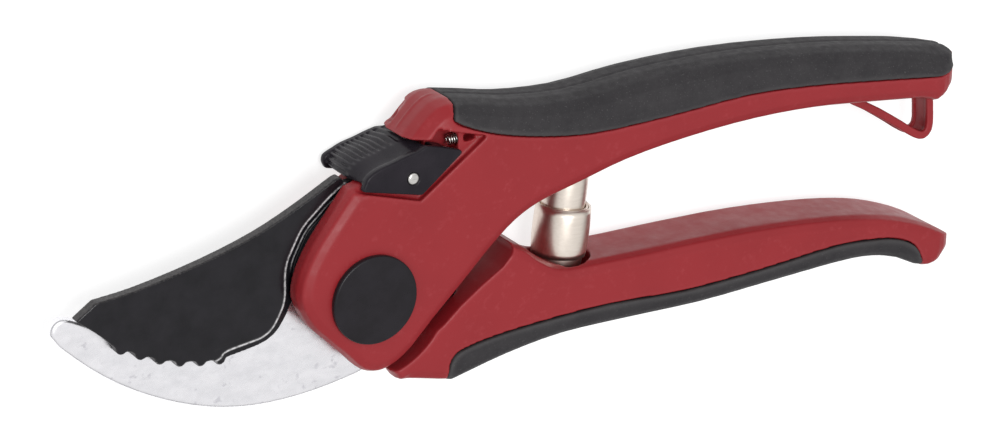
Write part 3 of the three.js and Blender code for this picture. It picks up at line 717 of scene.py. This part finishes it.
def latch():
    """The saddle: a ribbed thumb pad that falls away to the side plates, with webs inside."""
    grid = Grid("latch", 0.17, 0.8)
    filled = grid.outline(section("latch", 8.0), 4)
    hollowed = grid.outline(section("latch", 3.5), 3)
    front_plate = np.maximum(filled, left_of(grid, *LATCH_CORNER))
    angle = np.arctan2(grid.y - RIB_CENTRE[1], grid.x - RIB_CENTRE[0])[:, :, None]
    ribs = RIB_DEPTH * (0.5 - 0.5 * np.cos(2 * math.pi * angle / RIB_PITCH)) ** 1.4
    ribs = ribs * (1 - ramp(grid.z, 1.0, 3.4)) * ramp(grid.z, -7.6, -6.9)
    fall = FRONT_FALL * ramp(grid.z, 0.5, 8.0) + BACK_FALL * (1 - ramp(grid.z, -9.5, -1.0))
    thumb = ramp(grid.y - 23.5 - 0.41 * (grid.x + 2.5), -0.3, 1.2) * (1 - ramp(grid.x, 9.5, 12))
    top = filled[:, :, None] + (ribs + fall) * thumb[:, :, None]
    pad = np.maximum(hollowed[:, :, None], top + 0.05)
    body = grid.extruded(pad, -PLATE_IN - 0.4, PLATE_OUT - 0.3, 0.3)
    plate = np.maximum(front_plate[:, :, None], top)
    body = joined(body, grid.extruded(plate, PLATE_IN, PLATE_OUT, 0.45), 0.35)
    back_plate = filled + BACK_PLATE_DROP * ramp(grid.y, 25.5, 27)
    body = joined(body, grid.extruded(back_plate, -PLATE_OUT, -PLATE_IN, 0.5), 0.3)
    for height, low, high in LATCH_WEBS:
        web = np.maximum(grid.outline(section("latch", height), 2)[:, :, None], top + 0.3)
        body = np.minimum(body, grid.extruded(web, low, high, 0.2))
    mark = np.abs(np.hypot(grid.x - EJECTOR[0], grid.y - EJECTOR[1]) - EJECTOR_R)[:, :, None]
    body = np.maximum(body, -np.maximum(mark - 0.12, PLATE_OUT - 0.06 - grid.z))
    points, faces = grid.mesh(body)
    piece = place("latch_saddle", points, faces)
    relax(piece.data, 1)
    mark_edges(piece.data)
    return dress(piece, LATCH_BLACK, "black_plastic", "latch", "latch")


def latch_pin():
    """The rivet, with slightly domed heads."""
    head = 9.05
    upper = [(1.25, head - 0.25), (1.05, head - 0.05), (0.7, head), (0.01, head)]
    profile = [(r, -height) for r, height in upper[::-1]] + upper
    points, faces = turned(profile, 48)
    points = points + np.array([LATCH_PIVOT[0], LATCH_PIVOT[1], 0])
    piece = place("latch_rivet", points, faces)
    return dress(piece, STEEL, "bright_steel", "latch", "latch_pin")


def tube(path, radius, sides=10):
    """Points and faces of a round wire along a path, with closed ends."""
    path = np.asarray(path, float)
    ahead = np.gradient(path, axis=0)
    ahead /= np.linalg.norm(ahead, axis=1)[:, None]
    guide = np.array([0.0, 0.0, 1.0])
    points = []
    for here, way in zip(path, ahead):
        sideways = np.cross(way, guide)
        sideways /= np.linalg.norm(sideways)
        guide = np.cross(sideways, way)
        for k in range(sides):
            a = 2 * math.pi * k / sides
            points.append(here + radius * (math.cos(a) * sideways + math.sin(a) * guide))
    last = (len(path) - 1) * sides
    faces = [[i * sides + k, i * sides + (k + 1) % sides,
              (i + 1) * sides + (k + 1) % sides, (i + 1) * sides + k]
             for i in range(len(path) - 1) for k in range(sides)]
    faces.append(list(range(sides))[::-1])
    faces.append(list(range(last, last + sides)))
    return np.array(points), faces


COIL_WIRE = 0.19
COIL_TURNS = 4


def latch_spring():
    """A small coil of round wire."""
    low, high = (np.array(corner) / MM - MID_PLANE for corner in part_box("latch_spring"))
    centre = (low + high) / 2
    radius = (high[1] - low[1]) / 2 - COIL_WIRE
    path = []
    for t in np.linspace(0, 1, COIL_TURNS * 20):
        a = 2 * math.pi * COIL_TURNS * t
        x = low[0] + COIL_WIRE + (high[0] - low[0] - 2 * COIL_WIRE) * t
        path.append((x, centre[1] + radius * math.cos(a), centre[2] + radius * math.sin(a)))
    points, faces = tube(path, COIL_WIRE)
    piece = place("latch_coil", points, faces)
    return dress(piece, STEEL, "bright_steel", "upper", "latch_spring")


# ---------- return spring ----------
SPRING_LEAN = math.radians(6.5)
SPRING_TURNS = 4.4
SPRING_HALF = 11.5
SPRING_R = 6.0
SPRING_MIDDLE = -2.8
UPPER_TAPER = 2.0
LOWER_TAPER = 1.4
STRIP_THICKNESS = 0.55
STRIP_HEIGHT = 10.5
STRIP_BARREL = 0.22


def return_spring():
    """A double volute: one strip wound so that each turn nests in the next, widest at the middle."""
    low, high = (np.array(corner) / MM - MID_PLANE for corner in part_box("return_spring"))
    centre = (low + high) / 2
    steps = int(SPRING_TURNS * 48)
    rows = 10
    points = []
    for i in range(steps + 1):
        t = 2 * i / steps - 1
        turn = math.pi * SPRING_TURNS * t - 0.6
        upper = t < 0
        radius = SPRING_R - (UPPER_TAPER if upper else LOWER_TAPER) * abs(t) ** 0.9
        middle = SPRING_MIDDLE + (8.6 * ramp(-t, 0.36, 0.61) if upper else -6.0 * t**1.8)
        top = min(middle + STRIP_HEIGHT / 2, SPRING_HALF)
        bottom = max(middle - STRIP_HEIGHT / 2, -SPRING_HALF)
        for face in (0, 1):
            for k in range(rows):
                share = k / (rows - 1)
                along = bottom + (top - bottom) * (share if face == 0 else 1 - share)
                barrel = STRIP_BARREL * ((along - middle) / (STRIP_HEIGHT / 2)) ** 2
                trim = 0.06 if k in (0, rows - 1) else 0.0
                out = radius - barrel + (STRIP_THICKNESS / 2 - trim) * (1 if face == 0 else -1)
                points.append((out * math.cos(turn), along, out * math.sin(turn)))
    ring = rows * 2
    faces = [[i * ring + k, (i + 1) * ring + k,
              (i + 1) * ring + (k + 1) % ring, i * ring + (k + 1) % ring]
             for i in range(steps) for k in range(ring)]
    faces.append(list(range(ring)))
    faces.append(list(range(steps * ring, (steps + 1) * ring))[::-1])
    points = np.array(points)
    c, s = math.cos(SPRING_LEAN), math.sin(SPRING_LEAN)
    x, y, z = points.T
    leaned = np.stack([x * c + y * s, y * c - x * s, z], 1)
    piece = place("volute_spring", leaned + centre, faces)
    dress(piece, NICKEL, "spring_steel", None, "return_spring")
    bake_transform(piece)
    return piece


# ---------- hanging loop ----------
def hanging_loop():
    """A flat strap with a shallow channel down its inner and outer faces."""
    grid = Grid("hanging_loop", 0.2, 0.8)
    flat = grid.outline(section("hanging_loop", 0.0), 3)
    strap = grid.extruded(flat, -3, 3, 0.35)
    channel = grid.extruded(-0.35 - flat, -1.9, 1.9, 0.2)
    points, faces = grid.mesh(np.maximum(strap, -channel))
    piece = place("hanging_strap", points, faces)
    relax(piece.data, 2)
    mark_edges(piece.data)
    return dress(piece, RED, "red_nylon", "upper", "hanging_loop")


upper_handle()
lower_handle()
grip("upper_grip", "upper", 1)
grip("lower_grip", "lower", -1)
cutting_blade()
counter_blade()
cap("front_dome", "front_cap", 1, FRONT_DOME)
cap("back_dome", "back_cap", -1, 0.0)
latch()
latch_pin()
latch_spring()
return_spring()
hanging_loop()

# The pivot's hidden hardware keeps its CAD shape.
for material, nodes in ((BRONZE, ("pivot_bushing", "front_thrust_washer", "back_thrust_washer")),
                        (STEEL, ("nut_washer", "bolt_washer", "pivot_bolt", "pivot_nut"))):
    for node in nodes:
        for slot in frame["nodes"][node].material_slots:
            slot.material = material

# ---------- studio ----------
CAMERA_AIM = Vector((0.0342, 0.0073, 0.010))
CAMERA_DISTANCE = 0.6765
CAMERA_AZIMUTH = math.radians(-126.12)
CAMERA_ELEVATION = math.radians(53.65)
CAMERA_ROLL = math.radians(121.44)
CAMERA_LENS = 118.1
KEY_WATTS = 7.0
KEY_PLACE = (-0.15, 0.25, 1.2)
KEY_SIZE = 0.5
SKY_LOW = 0.15
SKY_HIGH = 0.85
FLOOR_GLOW = 0.76


def camera():
    """The camera, turned about its own axis because the tool lies along X."""
    data = bpy.data.cameras.new("camera")
    data.lens = CAMERA_LENS
    data.clip_start = 0.05
    data.clip_end = 20
    back = Vector((math.cos(CAMERA_ELEVATION) * math.sin(CAMERA_AZIMUTH),
                   -math.cos(CAMERA_ELEVATION) * math.cos(CAMERA_AZIMUTH), math.sin(CAMERA_ELEVATION)))
    level = Vector((math.cos(CAMERA_AZIMUTH), math.sin(CAMERA_AZIMUTH), 0))
    upright = back.cross(level)
    right = level * math.cos(CAMERA_ROLL) + upright * math.sin(CAMERA_ROLL)
    up = upright * math.cos(CAMERA_ROLL) - level * math.sin(CAMERA_ROLL)
    view = bpy.data.objects.new("camera", data)
    turn = Matrix((right, up, back)).transposed().to_4x4()
    view.matrix_world = Matrix.Translation(CAMERA_AIM + back * CAMERA_DISTANCE) @ turn
    bpy.context.scene.collection.objects.link(view)
    bpy.context.scene.camera = view


def lamp(name, position, size, power):
    data = bpy.data.lights.new(name, "AREA")
    data.shape = "DISK"
    data.size = size
    data.energy = power
    light = bpy.data.objects.new(name, data)
    light.location = position
    light.rotation_mode = "QUATERNION"
    light.rotation_quaternion = (Vector(position) - CAMERA_AIM).to_track_quat("Z", "Y")
    bpy.context.scene.collection.objects.link(light)


def studio():
    """A pale floor that glows a little, a sky that darkens to the horizon, and one soft lamp overhead."""
    mesh = bpy.data.meshes.new("floor")
    mesh.from_pydata([(-4, -4, 0), (4, -4, 0), (4, 4, 0), (-4, 4, 0)], [], [(0, 1, 2, 3)])
    floor = bpy.data.objects.new("floor", mesh)
    bpy.context.scene.collection.objects.link(floor)
    s = Surface("floor")
    s.finish(Base_Color=tone(0.35, 0.35, 0.35), Roughness=0.7, Specular_IOR_Level=0.1)
    s.finish(Emission_Color=tone(1.0, 1.0, 1.0), Emission_Strength=FLOOR_GLOW)
    mesh.materials.append(s.material)
    world = bpy.data.worlds.new("studio")
    bpy.context.scene.world = world
    world.use_nodes = True
    tree = world.node_tree
    way = tree.nodes.new("ShaderNodeTexCoord").outputs["Generated"]
    parts = tree.nodes.new("ShaderNodeSeparateXYZ")
    tree.links.new(way, parts.inputs[0])
    rise = tree.nodes.new("ShaderNodeMapRange")
    for index, value in ((1, 0.05), (2, 0.55), (3, SKY_LOW), (4, SKY_HIGH)):
        rise.inputs[index].default_value = value
    tree.links.new(parts.outputs["Z"], rise.inputs[0])
    background = tree.nodes["Background"]
    background.inputs["Color"].default_value = tone(1.0, 1.0, 1.0)
    tree.links.new(rise.outputs["Result"], background.inputs["Strength"])
    lamp("key", KEY_PLACE, KEY_SIZE, KEY_WATTS)


camera()
studio()
bpy.context.scene.view_settings.view_transform = "Standard"
